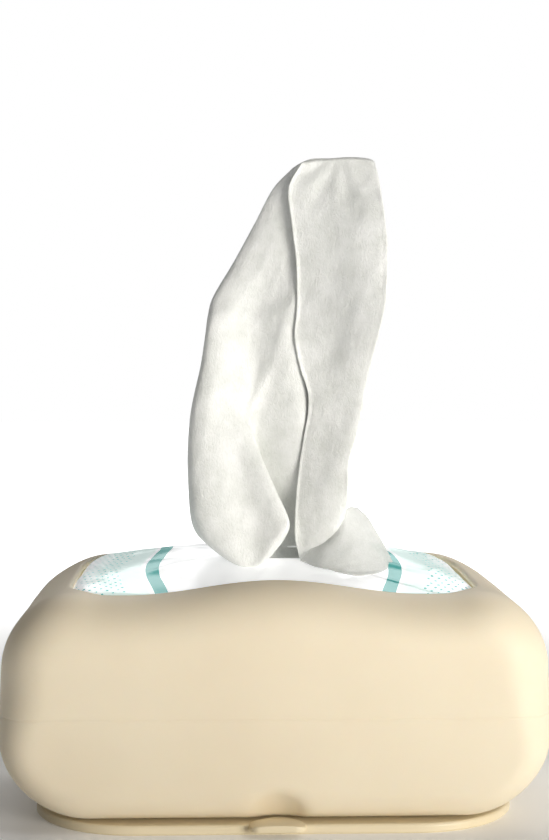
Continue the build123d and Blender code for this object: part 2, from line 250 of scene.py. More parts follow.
def printed_film():
    """Laminated film, gravure printed under a glossy face: white, with mint ends, wavy teal bands and small
    teal drops, all of them a plain design of this model's own."""
    made, tree, shader, place = material("glossy printed film")
    parts = add(tree, "ShaderNodeSeparateXYZ", links={"Vector": place})
    reach = add(tree, "ShaderNodeMath", {"operation": "ABSOLUTE"}, links={0: (parts, "X")})
    # The bands swing by 3 mm either way, once in 70 mm of the pack's depth.
    swing = add(tree, "ShaderNodeMath", {"operation": "MULTIPLY"}, {1: 90.0}, {0: (parts, "Y")})
    wave = add(tree, "ShaderNodeMath", {"operation": "SINE"}, links={0: (swing, "Value")})
    shift = add(tree, "ShaderNodeMath", {"operation": "MULTIPLY"}, {1: 0.003}, {0: (wave, "Value")})
    along = add(
        tree, "ShaderNodeMath", {"operation": "ADD"}, links={0: (reach, "Value"), 1: (shift, "Value")}
    )
    # The ramp counts tenths of a metre from the pack's middle: teal from 46.5 to 52.5 mm, and mint from
    # 54.5 mm, which pales at 74 mm and ends at 80 mm.
    tenths = add(tree, "ShaderNodeMath", {"operation": "MULTIPLY"}, {1: 10.0}, {0: (along, "Value")})
    bands = add(
        tree, "ShaderNodeValToRGB", links={"Fac": (tenths, "Value")},
        stops=[
            (0.0, "#f6f7f8"),
            (0.465, "#3c9c97"),
            (0.525, "#f6f7f8"),
            (0.545, "#def2ee"),
            (0.74, "#eef8f6"),
            (0.80, "#f6f7f8"),
        ],
    )
    bands.color_ramp.interpolation = "CONSTANT"
    # Drops: a turned grid of round marks, 3.2 mm apart, kept to more than 64 mm from the pack's middle.
    turned = add(
        tree, "ShaderNodeMapping", values={"Rotation": (0.0, 0.0, 0.6), "Scale": (310.0, 310.0, 0.0)},
        links={"Vector": place},
    )
    cells = add(
        tree, "ShaderNodeTexVoronoi", {"distance": "EUCLIDEAN"}, {"Scale": 1.0, "Randomness": 0.15},
        {"Vector": (turned, "Vector")},
    )
    dot = add(tree, "ShaderNodeMath", {"operation": "LESS_THAN"}, {1: 0.2}, {0: (cells, "Distance")})
    outer = add(tree, "ShaderNodeMath", {"operation": "GREATER_THAN"}, {1: 0.064}, {0: (along, "Value")})
    mark = add(
        tree, "ShaderNodeMath", {"operation": "MULTIPLY"}, links={0: (dot, "Value"), 1: (outer, "Value")}
    )
    design = add(
        tree, "ShaderNodeMix", {"data_type": "RGBA"}, {"B": colour("#4aa7a1")},
        {"Factor": (mark, "Value"), "A": (bands, "Color")},
    )
    # The film crinkles in dents of about 11 mm.
    crinkle = add(tree, "ShaderNodeTexNoise", values={"Scale": 90.0, "Detail": 4.0}, links={"Vector": place})
    bump = add(
        tree, "ShaderNodeBump", values={"Strength": 0.25, "Distance": 0.0006},
        links={"Height": (crinkle, "Fac")},
    )
    # The print also glows by emission, at 0.38: painted light that brightens the film where the lamps leave
    # it dim.
    print_and_glow_links = {key: (design, "Result") for key in ("Base Color", "Emission Color")}
    finish = {"Roughness": 0.3, "IOR": 1.5, "Emission Strength": 0.38}
    fill(shader, finish, {"Normal": (bump, "Normal"), **print_and_glow_links})
    return made


def wet_cloth(name, clear):
    """Spun-laced viscose and polyester, damp: a soft off-white web whose short fibres lie in all directions,
    with faint clouds where they bunch. clear is how much shows through a single layer."""
    made, tree, shader, place = material(name)
    # Fibres are about 0.02 mm thick: they are drawn as streaks 1 mm wide so that they show. The clouds are
    # about 9 mm across.
    spread = add(tree, "ShaderNodeMapping", values={"Scale": (1.0, 1.0, 0.45)}, links={"Vector": place})
    fibre = add(
        tree, "ShaderNodeTexNoise", values={"Scale": 900.0, "Detail": 4.0, "Distortion": 1.6},
        links={"Vector": (spread, "Vector")},
    )
    cloud = add(tree, "ShaderNodeTexNoise", values={"Scale": 110.0, "Detail": 4.0}, links={"Vector": place})
    web = add(
        tree, "ShaderNodeMath", {"operation": "MULTIPLY_ADD"}, {1: 0.6},
        {0: (fibre, "Fac"), 2: (cloud, "Fac")},
    )
    tone = add(
        tree, "ShaderNodeValToRGB", links={"Fac": (web, "Value")}, stops=[(0.55, "#e3e5e0"), (1.0, "#f4f5f2")]
    )
    bump = add(
        tree, "ShaderNodeBump", values={"Strength": 0.9, "Distance": 0.0006}, links={"Height": (web, "Value")}
    )
    finish = {
        "Roughness": 0.6,
        "IOR": 1.45,
        "Subsurface Weight": 0.12,
        "Subsurface Radius": (0.0015, 0.0015, 0.0014),
        "Subsurface Scale": 1.0,
        "Sheen Weight": 0.15,
        "Alpha": 1.0 - clear,
    }
    fill(shader, finish, {"Base Color": (tone, "Color"), "Normal": (bump, "Normal")})
    return made


def plain_paper():
    """Matte studio paper, even and pale, that glows by emission as painted light: faintly round the part and
    fully further off, so the floor is darker round the part.
    """
    made, tree, shader, place = material("matte studio paper")
    away = add(tree, "ShaderNodeVectorMath", {"operation": "LENGTH"}, links={0: place})
    # Painted light: the glow grows with distance from the origin, from 0.08 within 0.14 m to 1.2 beyond 0.9
    # m.
    glow = add(
        tree, "ShaderNodeMapRange", {"interpolation_type": "SMOOTHSTEP"},
        {"From Min": 0.14, "From Max": 0.9, "To Min": 0.08, "To Max": 1.2}, {"Value": (away, "Value")},
    )
    finish = {"Base Color": colour("#f4f3f1"), "Roughness": 0.9, "Emission Color": colour("#ffffff")}
    fill(shader, finish, {"Emission Strength": (glow, "Result")})
    return made


# Cover

# Sizes of the cover, in millimetres. Foot, top and middle are heights.
HALF_LENGTH = 115.0
HALF_DEPTH = 66.0
FOOT = 5.0
TOP = 100.0
MIDDLE = 52.5
WALL = 3.0
# How far the ends bow in by the foot and the top
CROWN = 4.0
# Corners of the front outline
TOP_CORNER = 32.0
BOTTOM_CORNER = 33.5
# Radii of the rolls along front and back: the low one goes over into the upper one from 28 mm, over 34 mm.
ROLL = 21.0
LOW_ROLL = 13.0
ROLL_START = 28.0
ROLL_CHANGE = 34.0
# Plan corner where the shoulder goes over into the wall
SHOULDER_CORNER = ROLL + 6.0
# Opening and mouth: half length, half depth and corner. The lip's rounding reaches 1.4 mm into the opening.
OPENING = (86.5, 46.0, 18.0)
MOUTH = (79.0, 42.0, 20.0)
LIP = 1.4
# The rim's wave: its crest's height, what the back adds to it, and how far along x it has died out
WAVE_HEIGHT = 6.5
WAVE_AT_BACK = 0.5
WAVE_REACH = 62.0
# The rim's slope: its height at the back edge, and where along x it ends after fading out
SLOPE_HEIGHT = 3.0
SLOPE_END = 100.0
SLOPE_FADE = 30.0
# The rim's lift sets in at 62 mm of height and is whole 34 mm higher.
LIFT_START = 62.0
LIFT_CHANGE = 34.0
# Finger scoop: its radius, how deep it cuts the roll, its direction in depth and height, and its blend
SCOOP_RADIUS = 21.0
SCOOP_DEPTH = 4.0
SCOOP_WAY = (0.75, 0.66)
SCOOP_BLEND = 1.5
# Heights between which the wall's rings lie, and the mould line's height, depth and width
WALL_TOP = 74.0
WALL_FOOT = 30.0
MOULD_LINE = 48.0
GROOVE_DEPTH = 0.2
GROOVE_WIDTH = 0.3
# Soft moulding: how far the skin is uneven
SKIN_WANDER = 0.15


def rim_lift(x, y):
    """How far the rim stands above the shoulders: a long wave, and a slope up to the back that fades out
    towards the ends."""
    wave = 0.5 + 0.5 * np.cos(np.pi * np.minimum(np.abs(x) / WAVE_REACH, 1.0))
    back = np.clip(y / OPENING[1], -1.1, 1.1)
    slope = SLOPE_HEIGHT * back * smooth((SLOPE_END - np.abs(x)) / SLOPE_FADE)
    return wave * (WAVE_HEIGHT + WAVE_AT_BACK * back) + slope


def rounded(a, b, radius):
    """Distance to the edge of two faces, rounded by the radius, from the distances to both faces."""
    a = a + radius
    b = b + radius
    return np.minimum(np.maximum(a, b), 0) + np.hypot(np.maximum(a, 0), np.maximum(b, 0)) - radius


def cover_distance(p):
    """Distance to the cover's outer form, negative inside: a rounded outline in front view, pushed through
    the depth with its front and back edges rolled, lifted by the rim's wave and cut by the front scoop."""
    x, y, z = p[..., 0], p[..., 1], p[..., 2]
    level = z - rim_lift(x, y) * smooth((z - LIFT_START) / LIFT_CHANGE)
    half = (TOP - FOOT) / 2
    along = np.abs(x) + CROWN * ((level - MIDDLE) / half) ** 2
    corner = np.where(level > MIDDLE, TOP_CORNER, BOTTOM_CORNER)
    outline = rounded(along - HALF_LENGTH, np.abs(level - MIDDLE) - half, corner)
    roll = LOW_ROLL + (ROLL - LOW_ROLL) * smooth((level - ROLL_START) / ROLL_CHANGE)
    form = rounded(outline, np.abs(y) - HALF_DEPTH, roll)
    # The scoop is a cylinder cut into the lower front roll, blended into it by a smooth maximum.
    back, up = SCOOP_WAY
    across = back * (y + HALF_DEPTH - LOW_ROLL) + up * (z - FOOT - LOW_ROLL)
    across = across + LOW_ROLL - SCOOP_DEPTH + SCOOP_RADIUS
    scoop = SCOOP_RADIUS - np.hypot(x, across)
    blend = np.clip(0.5 + (form - scoop) / (2 * SCOOP_BLEND), 0, 1)
    return scoop + (form - scoop) * blend + SCOOP_BLEND * blend * (1 - blend)


def settle(points, target, move):
    """Brings points onto the surface at the target distance, moving them only along the allowed axes: twelve
    steps against the distance's slope, which is taken over 0.01 mm. The slope's square counts as 0.02 at
    least, so that no step runs away."""
    step = 0.01
    least = 0.02
    for _ in range(12):
        d = cover_distance(points)
        slope = np.stack([(cover_distance(points + step * axis) - d) / step for axis in np.eye(3)], axis=-1)
        slope = slope * np.array(move, float)
        size = np.maximum((slope**2).sum(-1), least)
        points = points - ((d - target) / size)[..., None] * slope
    return points


def between(start, end, share):
    """Sizes that lie a share of the way from the first ones to the last ones."""
    return [first + (last - first) * share for first, last in zip(start, end)]


def cover_rows(parts, target):
    """Rings from the opening, over the shoulder, down the wall and under to the mouth, on the surface that
    lies at the target distance from the outer form. The plan swells from the opening's rounded rectangle to
    the outline by a sine, while the height falls by a cosine."""
    edge = [size + LIP for size in OPENING]
    wall = (HALF_LENGTH, HALF_DEPTH, ROLL)
    shoulder = (HALF_LENGTH, HALF_DEPTH, SHOULDER_CORNER)
    lip = settle(points_at(*ring(parts, *edge), TOP - 1.0), target, (0, 0, 1))
    rows = [lip]
    for turn in np.linspace(0, np.pi / 2, 30)[1:-1]:
        x, y = ring(parts, *between(edge, shoulder, np.sin(turn)))
        z = WALL_TOP + (lip[:, 2] - WALL_TOP) * np.cos(turn)
        rows.append(settle(points_at(x, y, z), target, (1, 1, 1)))
    # Wall rings lie close together at the mould line, which only the outer surface has.
    above = np.linspace(WALL_TOP, MOULD_LINE + 2.5, 14)
    close = MOULD_LINE + np.array([1.4, 0.8, 0.4, 0.15, -0.15, -0.4, -0.8, -1.4])
    below = np.linspace(MOULD_LINE - 2.5, WALL_FOOT, 10)
    x, y = ring(parts, *wall)
    for level in np.concatenate([above, close, below]):
        points = settle(points_at(x, y, level), target, (1, 1, 0))
        if target == 0:
            groove = GROOVE_DEPTH * np.exp(-(((level - MOULD_LINE) / GROOVE_WIDTH) ** 2))
            points = points - points_at(parts[2], parts[3], 0.0) * groove
        rows.append(points)
    for turn in np.linspace(np.pi / 2, 0, 26)[1:-1]:
        x, y = ring(parts, *between(MOUTH, wall, np.sin(turn)))
        z = WALL_FOOT - (WALL_FOOT - FOOT) * np.cos(turn)
        rows.append(settle(points_at(x, y, z), target, (1, 1, 1)))
    rows.append(points_at(*ring(parts, *MOUTH), FOOT - target))
    return rows


def cover():
    """The whole cover as one closed ring of rings: outer surface, mouth edge, inner surface and lip."""
    parts = ring_frame(72, 16, 40)
    outer = cover_rows(parts, 0.0)
    inner = cover_rows(parts, -WALL)
    # The lip's section is a half ellipse from the inner edge, into the opening and up to the outer edge.
    middle = (outer[0] + inner[0]) / 2
    half = (outer[0] - inner[0]) / 2
    outward = points_at(parts[2], parts[3], 0.0)
    turns = np.linspace(-np.pi / 2, np.pi / 2, 11)[1:-1]
    lip = [middle + half * np.sin(turn) - outward * LIP * np.cos(turn) ** 0.8 for turn in turns]
    grid = np.array(outer + inner[::-1] + lip)
    # The skin wanders towards and away from the cover's middle.
    wander = SKIN_WANDER * ripple(*np.moveaxis(grid, -1, 0), 3, 90.0, 2)
    away = grid - np.array([0.0, 0.0, MIDDLE])
    grid = grid + wander[..., None] * away / np.linalg.norm(away, axis=-1)[..., None]
    return surface("silicone_cover", grid, close_rows=True, close_columns=True)


# Pull tab

# The tongue's half width, half reach and plan corner, its middle in depth, and the rounding of its edge
TAB_SIZES = (11.6, 5.6, 4.5)
TAB_MIDDLE = -64.1
TAB_EDGE = 0.5
# Heights of its underside and its top, and how far the top falls by its ends
TAB_UNDER = 2.4
TAB_TOP = 5.5
TAB_FALL = 1.4


def pull_tab():
    """Finger face of the pull tab: a rounded tongue over the plate's own tab. Its top falls towards its ends,
    as the cube of the way out. The rings go from the underside's middle, out and round, to the top's
    middle. Each has its share of the plan, its inset and its height."""
    parts = ring_frame(40, 16, 12)
    flat = [(share, TAB_EDGE) for share in (0.0, 0.4, 0.8)]
    turns = np.linspace(0, np.pi / 2, 6)
    edge = [(TAB_EDGE * (1 - np.sin(turn)), TAB_EDGE * (1 - np.cos(turn))) for turn in turns]
    under = [(*step, TAB_UNDER) for step in flat]
    under += [(1.0, near, TAB_UNDER + far) for near, far in edge]
    top = [(1.0, far, TAB_TOP - near) for near, far in edge]
    top += [(*step, TAB_TOP) for step in flat[::-1]]
    rows = []
    for share, inset, level in under + top:
        x, y = ring(parts, *[share * (size - inset) for size in TAB_SIZES])
        fall = TAB_FALL * np.abs(x / TAB_SIZES[0]) ** 3 if level > TAB_UNDER + TAB_EDGE else 0.0
        rows.append(points_at(x, y + TAB_MIDDLE, level - fall))
    tab = surface("pull_tab", np.array(rows), close_columns=True)
    # The points that meet in the middles of the top and the underside are merged.
    shape = bmesh.new()
    shape.from_mesh(tab.data)
    bmesh.ops.remove_doubles(shape, verts=shape.verts, dist=1e-7)
    bmesh.ops.recalc_face_normals(shape, faces=shape.faces)
    shape.to_mesh(tab.data)
    shape.free()
    return tab


# Film pack

# The pouch's level outlines from the slot outwards: half length, half depth, corner, middle and height. The
# top film's own height comes from its planes, so the inner rings' heights only need to be above them.
POUCH = (
    (28.0, 7.0, 6.9, 6.0, 118.0),
    (31.0, 9.6, 9.0, 5.4, 118.0),
    (38.0, 15.0, 10.0, 3.6, 118.0),
    (50.0, 22.0, 12.0, 1.0, 118.0),
    (62.0, 30.0, 14.0, -0.5, 116.0),
    (72.0, 36.5, 15.0, -1.0, 110.0),
    (79.5, 41.0, 15.0, -1.0, 103.0),
    (85.0, 44.2, 14.5, -0.8, 97.0),
    (89.6, 46.8, 14.0, -0.3, 89.5),
    (92.6, 48.3, 13.5, 0.0, 80.0),
    (93.6, 48.8, 13.0, 0.0, 70.0),
    (93.6, 48.8, 13.0, 0.0, 45.0),
    (93.4, 48.6, 13.0, 0.0, 26.0),
    (92.0, 47.6, 11.0, 0.0, 18.5),
    (88.0, 44.5, 9.0, 0.0, 15.7),
    (60.0, 30.0, 6.0, 0.0, 15.5),
    (20.0, 6.0, 4.0, 0.0, 15.5),
    (2.0, 0.6, 0.5, 0.0, 15.5),
)

# The top film is pulled up by the wipe into a tent of taut planes: height at the origin, then the slopes
# along x and y. They are the front, left, right and back planes and the cap round the slot.
TENT = (
    (108.8, 0.0, 0.28),
    (118.4, 0.21, 0.05),
    (124.2, -0.29, 0.02),
    (115.6, 0.0, -0.29),
    (111.2, 0.0, 0.0),
)

# Pulled creases in the top film: both ends in plan, height and width
CREASES = (
    (-24.0, -3.0, -60.0, -26.0, 0.7, 1.5),
    (-22.0, 4.0, -66.0, 18.0, 0.8, 1.6),
    (32.0, -3.0, 70.0, -26.0, 0.9, 1.6),
    (35.0, 3.0, 72.0, 20.0, 0.7, 1.8),
    (2.0, -10.0, -12.0, -38.0, 0.4, 1.8),
    (24.0, -9.0, 40.0, -38.0, 0.5, 1.8),
    (-70.0, -22.0, -80.0, 10.0, 0.7, 1.6),
    (60.0, -36.0, 76.0, -8.0, 0.6, 1.6),
)

# Creases run on past their ends by 5 mm, and fade out there over 12 mm.
CREASE_OVERRUN = 5.0
CREASE_FADE = 12.0
# The tent takes over from the level outlines from 60 mm up, over 20 mm. Its planes meet in a small round.
TENT_START = 60.0
TENT_CHANGE = 20.0
TENT_ROUND = 0.8
# The top film with its creases starts at 84 mm and is whole 14 mm higher. The sides' crumples set in from
# 17 mm, over 8 mm.
TOP_START = 84.0
TOP_CHANGE = 14.0
SIDE_START = 17.0
SIDE_CHANGE = 8.0
# Heights of the top film's fine unevenness and of its facets, and what is taken off for their mean
UNEVEN = 0.12
FACET = 0.45
FACET_MEAN = 0.3
# The sides crumple inwards by up to 0.8 mm: the ends past this length, the front and back past this depth.
CRUMPLE = 0.35
CRUMPLED_LENGTH = 60
CRUMPLED_DEPTH = 30
# End seals: half depth, root, reach, depth and pitch of the teeth, height, the ribs' height and pitch, and
# how far the end waves up and down
SEAL_HALF = 44.0
SEAL_ROOT = 92.8
SEAL_REACH = 10.2
TOOTH = 1.4
TOOTH_PITCH = 4.0
SEAL_LEVEL = 49.4
SEAL_RIB = 0.25
SEAL_RIB_PITCH = 1.6
SEAL_WAVE = 0.9
# Fin seal: half length, width, height, and the ribs' height and pitch
FIN_HALF = 86.0
FIN_WIDTH = 12.0
FIN_LEVEL = 15.35
FIN_RIB = 0.1
FIN_RIB_PITCH = 2.4


def crease_height(x, y):
    """Sum of sharp ridges: each falls off by an exponential of the distance from its line, and fades at
    both ends."""
    total = np.zeros_like(x)
    for ax, ay, bx, by, height, width in CREASES:
        run = np.array([bx - ax, by - ay])
        length = np.hypot(*run)
        run = run / length
        t = (x - ax) * run[0] + (y - ay) * run[1]
        off = np.abs((x - ax) * run[1] - (y - ay) * run[0])
        begin = smooth((t + CREASE_OVERRUN) / CREASE_FADE)
        end = smooth((length + CREASE_OVERRUN - t) / CREASE_FADE)
        total += height * np.exp(-off / width) * (begin * end)
    return total


def softest(heights, radius):
    """Smooth minimum of several heights (log-sum-exp), rounded over about the radius where they cross."""
    heights = np.array(np.broadcast_arrays(*heights))
    least = heights.min(0)
    return least - radius * np.log(np.exp((least - heights) / radius).sum(0))


def pouch():
    """Film pouch: rings between the slot and the underside, on a smooth curve through the level outlines,
    cut off at the top by the tent's planes, with pulled creases there and gentle crumples on the sides."""
    parts = ring_frame(80, 14, 44)
    rows = []
    for a, b, r, middle, level in through(POUCH, np.linspace(0, len(POUCH) - 1, 132)):
        rows.append(points_at(*ring(parts, a, b, min(r, b, a), middle), level))
    grid = np.array(rows)
    x, y, z = grid[..., 0], grid[..., 1], grid[..., 2]
    upper = smooth((z - TENT_START) / TENT_CHANGE)
    planes = [base + along * x + back * y for base, along, back in TENT]
    grid[..., 2] = z + upper * (softest([z, *planes], TENT_ROUND) - z)
    # Away from the slot, the top film has its creases, facets and fine unevenness.
    slot_length, slot_depth, _, slot_middle, _ = POUCH[0]
    top = smooth((z - TOP_START) / TOP_CHANGE)
    slot_lengths_out = np.hypot((x - slot_middle) / slot_length, y / slot_depth)
    off_slot = smooth((slot_lengths_out - 1.0) / 0.6)
    fine = ripple(x, y, z, 11, 26.0, 3)
    facet = np.abs(ripple(x, y, z, 12, 48.0, 2))
    grid[..., 2] += top * off_slot * (crease_height(x, y) + UNEVEN * fine + FACET * facet - FACET_MEAN)
    side = (1.0 - top) * smooth((z - SIDE_START) / SIDE_CHANGE)
    inward = CRUMPLE * side * (ripple(x, y, z, 13, 30.0, 3) - 1.2)
    grid[..., 0] += inward * np.sign(x) * (np.abs(x) > CRUMPLED_LENGTH)
    grid[..., 1] += inward * np.sign(y) * (np.abs(y) > CRUMPLED_DEPTH)
    return grid


def crimp(way):
    """Crimped end seal: a flat strip with ribs pressed in as a sine, and an end cut in teeth."""
    across = np.linspace(-SEAL_HALF, SEAL_HALF, 177)
    out = np.linspace(0.0, 1.0, 19)[:, None]
    teeth = TOOTH * np.abs(((across / TOOTH_PITCH) % 1.0) * 2.0 - 1.0)
    x = SEAL_ROOT + out * (SEAL_REACH - teeth)
    ribs = SEAL_RIB * np.sin(x * 2 * np.pi / SEAL_RIB_PITCH) * smooth((out - 0.15) / 0.1)
    z = SEAL_LEVEL + ribs + SEAL_WAVE * np.sin(across / 14.0) * out
    grid = points_at(way * x, across, z)
    return grid if way > 0 else grid[:, ::-1]


def fin_seal():
    """Fin seal folded flat along the pouch's underside, with ribs pressed in as a sine."""
    along = np.linspace(-FIN_HALF, FIN_HALF, 120)[:, None]
    share = np.linspace(0.0, 1.0, 9)
    ribs = FIN_RIB * np.sin(along * 2 * np.pi / FIN_RIB_PITCH) * smooth(share * 3)
    return points_at(along, FIN_WIDTH * share - FIN_WIDTH / 2, FIN_LEVEL + ribs)


def film_pack():
    """The pouch with its end seals and fin seal, as one mesh of thin film."""
    skin = pouch()
    closed = np.concatenate([skin, skin[:, :1]], axis=1)
    return mesh_object("film_pouch", *joined(closed, crimp(1), crimp(-1), fin_seal()))


# Wipes

# The standing wipe's section at the slot, as places in plan: along the hidden back flap, round the left
# fold, over the front to the pleat, round the pleat and back under it, along the middle, round the right
# fold and along the right flap to its free edge
SLOT_SECTION = (
    (12.4, 6.2), (5.7, 6.4), (-12.8, 5), (-17.2, 2.5), (-17.6, -0.5), (-14.9, -3.2), (-11.3, -4.2),
    (-7.3, -4.4), (-3.7, -3.6), (-1.5, -2.2), (-1.1, 0), (0.3, 2.4), (2.5, 4), (6.1, 4.8), (13.3, 4.8),
    (18.7, 4), (21.4, 2), (19.5, 0), (16.3, -1.5), (14.1, -2), (12.8, -2), (11.9, -2),
)

# The wipe's tail in the pack, from its lower end up to the slot: height, foremost place in depth, and the
# shares of the section's depth and width that it is drawn together to
TAIL = (
    (77.5, 1.4, 0.42, 0.9),
    (85.0, 0.8, 0.5, 0.95),
    (92.8, -0.6, 0.62, 1.0),
)

